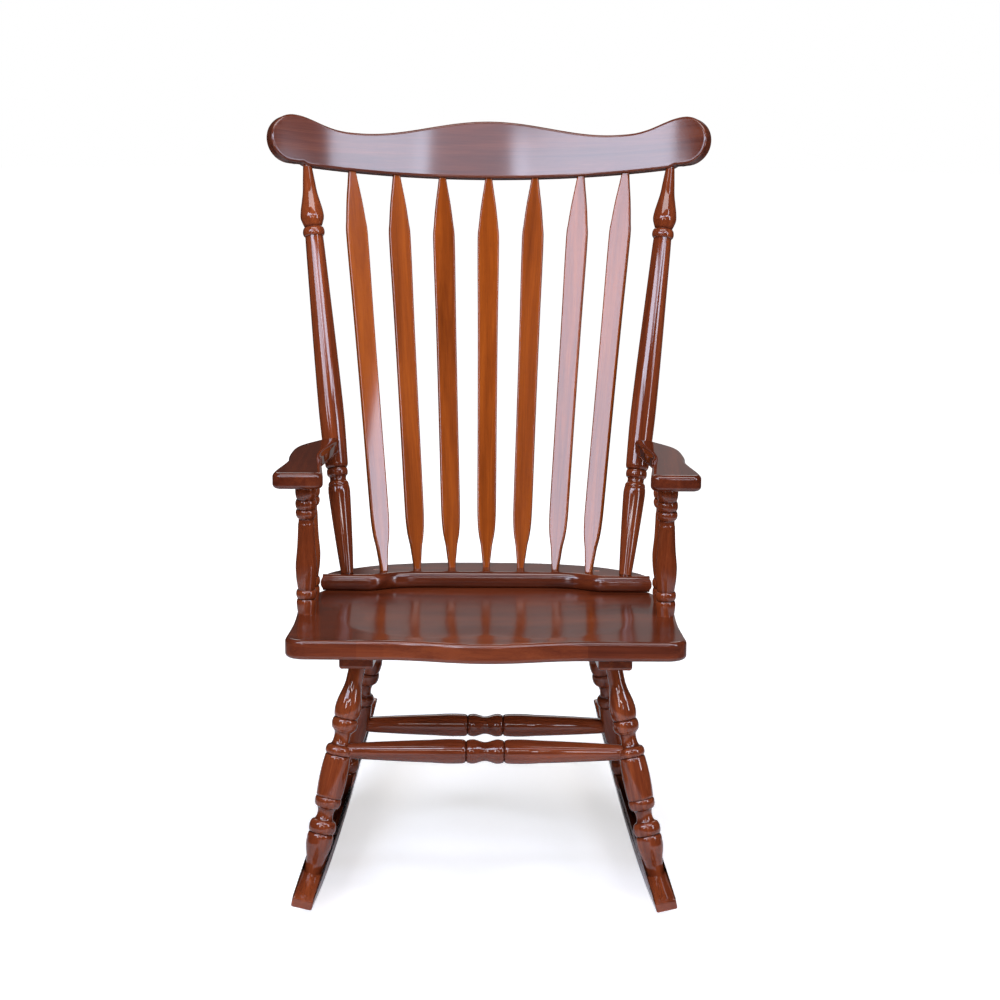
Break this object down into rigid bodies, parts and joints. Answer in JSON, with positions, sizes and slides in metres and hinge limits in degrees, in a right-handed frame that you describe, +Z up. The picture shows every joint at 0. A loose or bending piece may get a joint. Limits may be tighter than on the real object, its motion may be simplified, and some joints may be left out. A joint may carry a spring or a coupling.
{
  "type": "rocking chair",
  "caption": "Wooden rocking chair with a bent crest rail, arrow-shaped back slats, flat arms on turned posts, turned legs and stretchers, and curved rockers.",
  "frame": {"origin": "on the floor, at the middle of the chair's footprint box", "axes": "+X to the sitter's left, -Y the way the sitter faces, +Z up"},
  "size_m": [0.7184, 0.8904, 1.1597],
  "materials": {
    "seat_wood": "dark red-brown stain under satin lacquer",
    "slat_wood": "red-brown stain under satin lacquer",
    "crest_wood": "red-brown stain under gloss lacquer",
    "post_wood": "red-brown stain under gloss lacquer",
    "arm_wood": "dark red-brown stain under gloss lacquer",
    "base_wood": "red-brown stain under gloss lacquer",
    "plug_wood": "red-brown stain under satin lacquer",
    "screw_steel": "zinc-plated"
  },
  "bodies": {
    "root": {"arm_left": "arm_wood", "arm_plug_left": "plug_wood", "arm_plug_right": "plug_wood", "arm_post_front_left": "post_wood", "arm_post_front_right": "post_wood", "arm_post_rear_left": "post_wood", "arm_post_rear_right": "post_wood", "arm_right": "arm_wood", "arm_screw_left": "screw_steel", "arm_screw_right": "screw_steel", "back_post_left": "post_wood", "back_post_right": "post_wood", "cleat_left": "base_wood", "cleat_right": "base_wood", "cleat_screw_front_left": "screw_steel", "cleat_screw_front_right": "screw_steel", "cleat_screw_middle_left": "screw_steel", "cleat_screw_middle_right": "screw_steel", "cleat_screw_rear_left": "screw_steel", "cleat_screw_rear_right": "screw_steel", "crest_pin_left": "plug_wood", "crest_pin_right": "plug_wood", "crest_rail": "crest_wood", "deck_plug_left": "plug_wood", "deck_plug_middle": "plug_wood", "deck_plug_right": "plug_wood", "deck_screw_left": "screw_steel", "deck_screw_middle": "screw_steel", "deck_screw_right": "screw_steel", "leg_front_left": "base_wood", "leg_front_right": "base_wood", "leg_rear_left": "base_wood", "leg_rear_right": "base_wood", "rocker_left": "base_wood", "rocker_right": "base_wood", "seat": "seat_wood", "seat_deck": "seat_wood", "slat_left_1": "slat_wood", "slat_left_2": "slat_wood", "slat_left_3": "slat_wood", "slat_middle": "slat_wood", "slat_right_1": "slat_wood", "slat_right_2": "slat_wood", "slat_right_3": "slat_wood", "stretcher_front": "base_wood", "stretcher_rear": "base_wood"}
  },
  "joints": []
}
